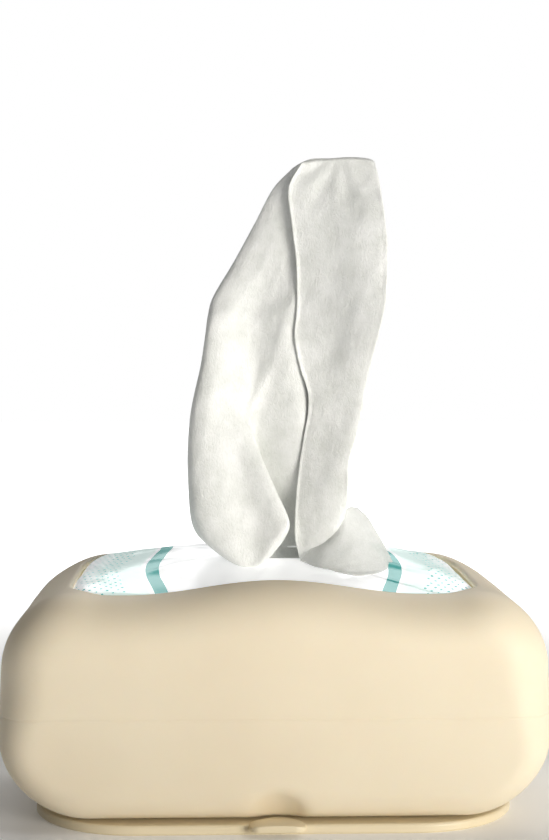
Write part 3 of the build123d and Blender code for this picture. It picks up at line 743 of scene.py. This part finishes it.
# The same wipe's control points above the tail, in rows upwards. Each row starts with its height. Then come
# the points' places in plan, in the order of the section. A third number is a height of its own. The pleat
# opens below 172 mm and is flat above.
STANDING = (
    (100, (12.5, 6.4), (5.7, 6.6), (-12.8, 5.2), (-17.2, 2.5), (-17.6, -1), (-14.9, -3.8), (-11.3, -4.8),
     (-7.3, -5), (-3.7, -4.2), (-1.5, -2.6), (-1.1, 0), (0.3, 2.6), (2.5, 4.2), (6.1, 5, 104),
     (13.8, 5, 102), (19.2, 4), (21.8, 2), (20, 0), (16.8, -1.6), (14.1, -2.2), (12.8, -2.4), (11.9, -2.2)),
    (106.3, (13.4, 8, 111), (6.2, 8.4, 111), (-13.3, 6, 109), (-18.6, 2, 109), (-20.2, -3, 108.6),
     (-19.2, -7.5, 107), (-16.5, -11.5, 105.6), (-12.9, -13.2, 104.9), (-8.5, -13, 104.8),
     (-4.6, -11, 105.8), (-1.9, -7.5, 107), (-2, -2, 108), (-0.6, 3.1, 109), (3, 6.4, 110),
     (13.8, 7.4, 110), (20.5, 3.4, 108.6), (24.4, -1.4, 108), (22.5, -5.4, 107.4), (18.9, -6.6, 107),
     (15.3, -6.6, 106.6), (13.1, -6.2, 106.4), (12.1, -5.6, 106.4)),
    (109, (13.8, 8.4, 113.5), (7.1, 9, 113.5), (-14.6, 7, 112.4), (-21.7, 2.5, 112), (-24.7, -4, 111.2),
     (-23.1, -11, 109), (-19.9, -15.2, 107.2), (-15, -17, 105.2), (-10, -16.2, 104.3),
     (-4.6, -16.6, 106.6), (-1.1, -14, 109), (-0.6, -6.5, 110.5), (0.3, 1.1, 111.5), (3.4, 5.8, 112),
     (13.4, 7, 112), (22.3, 2.6, 111), (27.4, -4.4, 110.4), (25.4, -9.8, 109.6), (21, -11.2, 108.8),
     (16.6, -10.8, 107.6), (13.5, -9.2, 107), (12, -8, 106.8)),
    (115.5, (14.3, 8, 119), (7.1, 8.6, 119), (-18.2, 7, 118), (-28.9, 2, 117.5), (-32.4, -6, 117),
     (-30.5, -13.5, 115.8), (-25.5, -17.6, 114.2), (-18.1, -18.6, 112.6), (-8.5, -16.6, 112.6),
     (-0.2, -18, 114.8), (4.4, -15.5, 116.6), (3.8, -8), (-0.2, 1.1), (3, 5.2), (13.3, 5.6), (24, 1.6),
     (29.7, -7.8), (27.5, -13.2), (22.7, -13.8), (17, -12.4), (13.1, -10.2), (9.8, -9)),
    (124, (15.2, 7.4), (7.1, 8.2), (-21.8, 6.6), (-32.9, 1), (-35.8, -7.6), (-33.9, -15), (-28.5, -18.2),
     (-20.2, -18.4), (-8.5, -15.4), (2.9, -18), (6.7, -16), (3.4, -8), (-1.5, -0.5), (1.2, 2.6),
     (12.4, 2.2), (24, 1), (31.2, -9.2), (29, -14), (23.5, -14), (17.4, -12), (12.2, -9.6), (9.6, -8.4)),
    (137, (16.1, 6.6), (8, 7.4), (-22.7, 5.6), (-33.7, -1.5), (-36.9, -9), (-35.2, -15.2), (-30.3, -17.8),
     (-22.5, -17.6), (-12.4, -15), (-2.4, -16.6), (1.2, -14.8), (-2.4, -8.4), (-7.8, -2.6), (-4.2, 0.8),
     (12.5, -5.4), (22.1, -1.4), (31.5, -15.1), (30.5, -16.6), (24.8, -15.4), (18.7, -12.8), (13.1, -10.2),
     (10.3, -8.8)),
    (150, (16.9, 5.4), (8.8, 6.2), (-22.7, 5), (-34.1, -2.5), (-37.3, -9.6), (-35.7, -15.2),
     (-30.8, -17.4), (-23.8, -16.8), (-15.5, -14.2), (-7.7, -14.6), (-4.5, -12.8), (-7.3, -8.2),
     (-10.8, -4.6), (-7.3, -1.6), (12, -7.6), (20.3, -2.4), (31.8, -15.3), (30.8, -16.8), (25.3, -15),
     (20.1, -12.4), (14.8, -10.2), (11.8, -8.6)),
    (162, (17.8, 4.6), (9.7, 5.4), (-22.7, 4.4), (-33.6, -3.5), (-36.8, -9.8), (-35.3, -14.8),
     (-30.4, -16.8), (-24.3, -15.8), (-17.7, -13.8), (-11.6, -11.8), (-9.1, -10.2), (-10.4, -8.2),
     (-11.3, -6), (-6.4, -3.4), (12, -8.6), (19.4, -3.4), (34.9, -15.7), (33.8, -17.2), (27.9, -15.2),
     (22.3, -12.8), (16.6, -10.6), (13.7, -9)),
    (172, (18.7, 4.2), (10.6, 5), (-22.7, 3.8), (-32.7, -4), (-35.8, -10), (-34.2, -14.4), (-29.5, -16),
     (-24.3, -14.8), (-19.1, -12.8), (-14.9, -10.8), (-13.2, -9.4), (-12.6, -8.2), (-10.4, -7.4),
     (-4.6, -5.6), (12, -9.6), (20.3, -4.4), (37, -16), (36, -17.5), (30.1, -15.5), (24, -13.1),
     (18.3, -10.9), (15.4, -9.3)),
    (181, (19.2, 3.8), (11.1, 4.6), (-21.7, 3.2), (-30.9, -3.8), (-34, -9.6), (-32.5, -13.8), (-28.2, -15),
     (-23, -13.6), (-17.8, -11.4), (-13.4, -9.6), (-11.2, -8.4), (-9, -7.6), (-5.9, -7.6), (-1.1, -7.4),
     (11, -10.2), (22, -5.4), (38.2, -18.4), (37.2, -19.9), (30.9, -17.3), (24.4, -14.3), (18.3, -11.7),
     (15.1, -10.4)),
    (192, (19.6, 3.4), (11.5, 4.2), (-19.9, 2.6), (-28.7, -3.4), (-31.5, -9), (-30.1, -12.8),
     (-26.1, -13.6), (-21.3, -12.2), (-16.1, -9.3), (-11.7, -7.4), (-9, -6.8), (-6.4, -7), (-2.8, -8.7),
     (2, -10.2), (9.5, -11.2), (24.7, -6.4), (40.4, -20.7), (39.3, -22.2), (31.7, -19.5), (23.9, -15.1),
     (16.1, -12.4), (11.5, -11.6)),
    (205, (20.5, 3), (12.4, 3.6), (-18.1, 2), (-26.5, -2.6), (-29.5, -7.6), (-28.2, -11), (-24.4, -11.6),
     (-19.6, -10.3), (-14.8, -7.8), (-10.4, -6.2), (-7.3, -6), (-4.2, -6.7), (-0.2, -8.6), (4.7, -10.9),
     (10.9, -10), (27.3, -6.5), (43.5, -22.7), (42.5, -24.2), (34.3, -21), (25.2, -15.8), (14.8, -12.4),
     (9.2, -11.2)),
    (214, (20.9, 2.8), (13.3, 3.4), (-16.3, 2), (-25.2, -1), (-28.3, -5.2), (-26.9, -8.4), (-23.6, -9),
     (-19.2, -8.2), (-14.4, -6.2), (-10, -5.2), (-6.8, -5.3), (-3.3, -6.3), (1.2, -8.2), (6, -10.1),
     (11.7, -9.6), (29.1, -6), (45.5, -22.7), (44.5, -24.2), (35.6, -21), (26.1, -15.8), (15.7, -12),
     (10, -10.6)),
    (222.5, (21.4, 2.6), (14.2, 3.4), (-14.1, 3), (-23, 1.5), (-25.9, -1.5), (-24.2, -4), (-19.7, -4.8),
     (-14.4, -4.9), (-9.1, -4.2), (-4.6, -4.2), (-2, -4.7), (1.6, -5.7), (5.6, -7.3), (9.1, -9),
     (14, -8.6), (30.9, -5.5), (46.9, -22.3), (45.8, -23.8), (36.5, -20.6), (26.6, -15.4), (15.7, -11.4),
     (10.4, -9.8)),
    (238, (22.3, 2.4), (15.1, 3.4), (-7.4, 4), (-14.6, 3), (-16.8, 1), (-15.4, -0.8), (-11.8, -2.2),
     (-7.3, -3.1), (-2.8, -3.9), (0.7, -4.5), (2.9, -4.8), (5.6, -5.1), (8.3, -5.3), (10.9, -5.4),
     (14.9, -5.2), (30.9, -4.5), (47.6, -20.7), (46.6, -22.2), (36.5, -19.2), (26.2, -14.2), (15.3, -10.2),
     (10, -8.6)),
    (255, (23.2, 2.2), (16, 3), (-0.2, 3.6), (-5.6, 3), (-7.5, 1.4), (-6.4, 0), (-3.8, -1.4), (-0.6, -2.4),
     (2.5, -3.1), (4.7, -3.5), (6.5, -3.7), (8.3, -3.8), (10.1, -3.9), (12.3, -3.9), (15.8, -3.7),
     (30.1, -3.5), (46.7, -17.9), (45.6, -19.4), (35.8, -16.8), (25.3, -12.4), (14, -9), (8, -7.7)),
    (270, (24, 2), (17.8, 2.6), (7, 2.8), (2.5, 2.3), (0.5, 1.1), (1.4, 0), (2.9, -0.8), (4.7, -1.6),
     (6.5, -2.1), (7.8, -2.5), (8.7, -2.6), (9.6, -2.7), (11, -2.8), (12.7, -2.8), (15.9, -2.6),
     (30.2, -2), (45.3, -10.8), (44.3, -12.3), (35.1, -10.8), (24.6, -8.4), (13.6, -6.7), (6.8, -5.8)),
    (282.4, (25.8, 1.6, 282.6), (20.4, 1.8, 282.2), (14.2, 1.6, 281), (11, 1.4, 279.8), (9.2, 0.7, 279.2),
     (9.9, -0.1, 279.6), (11.4, -0.7, 280.6), (13.2, -1.1, 281.6), (15, -1.4, 282.3), (16.3, -1.5, 282.8),
     (17.2, -1.6, 283), (18.1, -1.6, 283.2), (19.5, -1.6, 283.3), (21.3, -1.5, 283.4), (23.9, -1.4, 283.4),
     (33.8, -0.9, 283.2), (44.4, -3.4, 281.4), (42.3, -4.8, 282.9), (34.5, -4.9, 283.5), (25.6, -4.5, 283),
     (17.6, -4.1, 282), (12.7, -3.9, 281)),
)

# Corner of the same wipe that hangs out over the film at the right: rows of x, y and height, from its
# upper fold downwards
CORNER = (
    ((24.5, -9, 117), (27.5, -11.5, 122), (30.5, -11.5, 127), (33.5, -9, 129.5), (37.5, -5, 128.8)),
    ((21.5, -11, 114.5), (25.5, -14.5, 117.5), (31.5, -14, 121.5), (37.5, -10, 124.2), (42.6, -5.5, 123.6)),
    ((17, -12.5, 111.3), (23.5, -17.5, 113), (32.5, -17, 115.5), (41, -12.5, 116.8), (47, -7.5, 116)),
    ((14, -12, 108.6), (22, -19.5, 109), (33, -20.5, 109.8), (44, -15.5, 110.2), (50.4, -10, 110)),
    ((12.3, -10.5, 106.8), (20.5, -21, 105.2), (33.5, -25, 104), (46, -19.5, 104.4), (52.6, -12.5, 105.6)),
    ((11.8, -10.5, 106.3), (20, -21.5, 104.4), (34.5, -28, 102.2), (47, -21.5, 102.4), (52.8, -13.5, 104.6)),
)

# The wipe is free of the slot from 108 mm up: its dents and puckers set in there, over 16 mm. The dents
# are about 42 mm across and the puckers 13 mm, and the corner has puckers of its own.
FREE_START = 108.0
FREE_CHANGE = 16.0
DENT = 0.45
PUCKER = 0.14
CORNER_PUCKER = 0.25
# Its free edge curls forward by 0.7 mm over its last millimetres.
CURL = 0.7
CURL_REACH = 1.2
# Short creases fan out under the place where the cloth is pinched: that place across and in height, how far
# below it they lie and over what length, how high they are and how many come round
PINCH_ACROSS = 30.0
PINCH_HEIGHT = 284.0
FAN_REACH = 17.0
FAN_SPREAD = 9.0
FAN_HEIGHT = 0.45
FAN_COUNT = 11.0


def net_surface(net, rows, columns):
    """Smooth surface through a net of control points, both ways."""
    along = through(net, np.linspace(0, net.shape[0] - 1, rows))
    across = through(np.swapaxes(along, 0, 1), np.linspace(0, net.shape[1] - 1, columns))
    return np.swapaxes(across, 0, 1)


def tail_rows():
    """The tail's control points: the slot's section, drawn together in width about its middle and in depth
    behind its foremost place, to the nearest 0.1 mm."""
    x, y = np.array(SLOT_SECTION).T
    rows = []
    for height, front, depth, width in TAIL:
        rows.append(points_at(x.mean() + (x - x.mean()) * width, front + (y - y.min()) * depth, height))
    return np.round(rows, 1)


def standing_wipe():
    """The standing wipe: the smooth surface through its net, as a function of the way up and of the way
    along its section, with soft dents and fine puckers added to it."""
    upper = [[(x, y, *(z or (height,))) for x, y, *z in points] for height, *points in STANDING]
    grid = net_surface(np.concatenate([tail_rows(), np.array(upper, float)]), 180, 240)
    x, y, z = grid[..., 0], grid[..., 1], grid[..., 2]
    free = smooth((z - FREE_START) / FREE_CHANGE)
    dents = DENT * ripple(x * 0.8, y * 0.5, z * 0.5, 22, 42.0, 2)
    dents = dents + PUCKER * ripple(x, y, z * 0.7, 21, 13.0, 3)
    # The way left to the free edge, summed up along each row
    steps = np.linalg.norm(np.diff(grid, axis=1), axis=-1)
    left = np.concatenate([np.cumsum(steps[:, ::-1], axis=1)[:, ::-1], np.zeros((len(grid), 1))], axis=1)
    curl = -CURL * np.exp(-((left / CURL_REACH) ** 2))
    over = x - PINCH_ACROSS
    under = PINCH_HEIGHT - z
    fading = np.exp(-(((np.hypot(over, under) - FAN_REACH) / FAN_SPREAD) ** 2))
    fan = np.sin(FAN_COUNT * np.arctan2(over, under + 2.0)) * fading
    grid[..., 1] += free * (dents + curl + FAN_HEIGHT * fan)
    return grid


def hanging_corner():
    """The wipe's outer corner: a smooth surface through its net, with small puckers."""
    grid = net_surface(np.array(CORNER, float), 50, 80)
    grid[..., 2] += CORNER_PUCKER * ripple(*np.moveaxis(grid, -1, 0), 31, 16.0, 3)
    return grid


# Folded wipes, as in the frame: a leaf's width and thickness, a fold's rise from leaf to leaf, the pitch of
# the leaves, the number of wipes, the stack's bottom and half the wipes' length
LEAF = 87.0
LEAF_THICKNESS = 1.5
FOLD_SPAN = 5.7
PITCH = 1.9
COUNT = 15
STACK_BOTTOM = 17.0
HALF_WIPE = 88.0
FOLD_RADIUS = (FOLD_SPAN + LEAF_THICKNESS) / 2
# A leaf's free edge ends this far short of where its neighbour's fold starts to turn.
EDGE_GAP = 0.4
# The edges wander by this much along the wipes' length and across it.
LENGTH_WANDER = 0.5
DEPTH_WANDER = 0.25
# The next wipe's upper leaf: how far short of the middle it ends, its rise to the slot, its half length
# there, its shift towards the slot's middle, the height of its folds and its fall towards the ends
DRAWN_END = 4.0
DRAWN_RISE = 15.0
DRAWN_HALF = 27.0
DRAWN_SHIFT = 5.0
DRAWN_FOLD = 2.2
DRAWN_FALL = 1.2


def fold_line(low, side, upper_end, rise=0.0):
    """Middle line of one folded wipe in end view: lower leaf, round fold and upper leaf, evenly stepped. The
    upper leaf's end lifts by the rise."""
    turn = side * (LEAF / 2 - FOLD_RADIUS)
    free = -side * (LEAF / 2 - FOLD_RADIUS - EDGE_GAP)
    half = FOLD_SPAN / 2
    angle = np.linspace(-np.pi / 2, np.pi / 2, 11)
    lower_leaf = np.linspace(free, turn, 16)[:-1]
    upper_leaf = np.linspace(turn, upper_end, 16)[1:]
    lift = rise * smooth(np.linspace(0, 1, 16)[1:] * 1.15) ** 1.5
    y = np.concatenate([lower_leaf, turn + side * half * np.cos(angle), upper_leaf])
    z = np.concatenate([np.full(15, low), low + half + half * np.sin(angle), low + FOLD_SPAN + lift])
    return y, z


def folded_wipes():
    """The stack: each wipe's fold line carried along its length, with edges that wander a little."""
    grids = []
    for i in range(COUNT):
        side = 1 if i % 2 == 0 else -1
        low = STACK_BOTTOM + LEAF_THICKNESS / 2 + 2 * i * PITCH
        y, z = fold_line(low, side, -side * (LEAF / 2 - FOLD_RADIUS - EDGE_GAP))
        along = np.linspace(-1, 1, 60)[:, None]
        x = HALF_WIPE * along + LENGTH_WANDER * np.sin(i * 2.3 + y / 17.0) * np.abs(along)
        grid = points_at(x, y, z)
        grid[..., 1] += DEPTH_WANDER * np.sin(x / 19.0 + i * 1.7)
        grids.append(grid if side > 0 else grid[:, ::-1])
    return mesh_object("folded_wipes", *joined(*grids))


def next_wipe():
    """The next wipe: lower leaf flat, upper leaf drawn together and up to the slot."""
    low = STACK_BOTTOM + LEAF_THICKNESS / 2 + 2 * COUNT * PITCH
    y, z = fold_line(low, -1, -DRAWN_END, rise=DRAWN_RISE)
    along = np.linspace(-1, 1, 110)[:, None]
    drawn = smooth((z - (low + FOLD_SPAN)) / DRAWN_RISE)
    half = HALF_WIPE + (DRAWN_HALF - HALF_WIPE) * drawn
    grid = points_at(half * along + DRAWN_SHIFT * drawn, y, z)
    # The cloth that is drawn in lies in folds across the leaf.
    grid[..., 1] += DRAWN_FOLD * drawn * np.sin(along * 19.0)
    grid[..., 2] -= DRAWN_FALL * drawn * (1.0 - np.cos(along * 2.0))
    return surface("drawn_wipe", grid)


def thicken(thing, thickness):
    """Gives a sheet its thickness in millimetres, half to each side."""
    wall = thing.modifiers.new("thickness", "SOLIDIFY")
    wall.thickness = thickness * MM
    wall.offset = 0.0
    wall.use_even_offset = True
    return thing


# Build

# Thicknesses of the film, a folded leaf, the next wipe and the standing wipe, in millimetres
FILM_THICKNESS = 0.25
FOLDED_THICKNESS = 0.8
DRAWN_THICKNESS = 0.6
STANDING_THICKNESS = 0.45

cloth = wet_cloth("damp spun-laced cloth", 0.0)

shell = cover()
shell.data.materials.append(silicone())
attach(shell, "cover")
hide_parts("cover_shell")

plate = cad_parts["base_plate"]
plate_material = base_plastic()
for holder in plate.material_slots:
    holder.material = plate_material
tab = pull_tab()
tab.data.materials.append(plate_material)
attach(tab, "base")

film = thicken(film_pack(), FILM_THICKNESS)
film.data.materials.append(printed_film())
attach(film, "cover")
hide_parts("pack_film")

stack = thicken(folded_wipes(), FOLDED_THICKNESS)
stack.data.materials.append(cloth)
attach(stack, "cover")
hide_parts("wipe_stack")

drawn = thicken(next_wipe(), DRAWN_THICKNESS)
drawn.data.materials.append(cloth)
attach(drawn, "cover")
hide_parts("next_wipe")

standing = standing_wipe()
wipe = thicken(mesh_object("standing_wipe", *joined(standing, hanging_corner())), STANDING_THICKNESS)
wipe.data.materials.append(cloth)
# The corner is a single layer, so the print under it shows through.
wipe.data.materials.append(wet_cloth("damp single layer", 0.3))
body_faces = (standing.shape[0] - 1) * (standing.shape[1] - 1)
which = np.arange(len(wipe.data.polygons)) >= body_faces
wipe.data.polygons.foreach_set("material_index", which.astype(np.int32))
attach(wipe, "wipe")
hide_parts("pulled_wipe")

# Floor, light and camera

# The floor reaches 4 m to each side.
reach = np.array([-4000.0, 4000.0])
floor = surface("studio_floor", points_at(reach[None, :], reach[:, None], 0.0))
floor.data.materials.append(plain_paper())

# The lights look at this place on the part, in metres.
AIM = (0.0, 0.0, 0.12)


def soft_light(name, place, width, height, power, tint="#ffffff"):
    """Rectangular soft box at a place in metres, turned towards the part."""
    data = bpy.data.lights.new(name, "AREA")
    data.shape = "RECTANGLE"
    data.size = width
    data.size_y = height
    data.energy = power
    data.color = colour(tint)[:3]
    lamp = bpy.data.objects.new(name, data)
    lamp.location = place
    lamp.rotation_euler = (Vector(AIM) - Vector(place)).to_track_quat("-Z", "Y").to_euler()
    bpy.context.scene.collection.objects.link(lamp)


# A low key at the front right, a softer light above it and a wide one behind that gleams on the film
soft_light("key", (0.738, -0.944, 0.183), 0.48, 0.42, 10.6, "#fffbf4")
soft_light("upper", (1.225, -0.707, 1.534), 0.9, 0.7, 7.0)
soft_light("rear", (0.20, 1.50, 1.45), 1.7, 0.9, 17.0)

# To the camera the sky is white, as round a cut-out, and it adds little light of its own.
world = bpy.data.worlds.new("pale studio")
world.use_nodes = True
sky = world.node_tree
seen = add(sky, "ShaderNodeLightPath")
either = add(
    sky, "ShaderNodeMath", {"operation": "MULTIPLY_ADD"}, {1: 0.2},
    {0: (seen, "Is Glossy Ray"), 2: (seen, "Is Camera Ray")},
)
shade = add(
    sky, "ShaderNodeMapRange", values={"To Min": 0.02, "To Max": 1.0}, links={"Value": (either, "Value")}
)
fill(sky.nodes["Background"], {"Color": colour("#ffffff")}, {"Strength": (shade, "Result")})
bpy.context.scene.world = world

# The camera stands 0.73 m in front and 0.2 m up, and looks down by 2.3 degrees and to the right by 1.9.
CAMERA_PLACE = (-0.02371, -0.73190, 0.19731)
CAMERA_DOWN = 0.0403025
CAMERA_RIGHT = 0.0336500
camera_data = bpy.data.cameras.new("camera")
camera_data.lens = 70.65
camera_data.sensor_width = 36.0
camera_data.clip_start = 0.01
camera_data.clip_end = 50.0
camera = bpy.data.objects.new("camera", camera_data)
camera.location = CAMERA_PLACE
camera.rotation_euler = (np.pi / 2 - CAMERA_DOWN, 0.0, -CAMERA_RIGHT)
bpy.context.scene.collection.objects.link(camera)
bpy.context.scene.camera = camera

bpy.context.scene.view_settings.view_transform = "Standard"

bpy.context.view_layer.update()
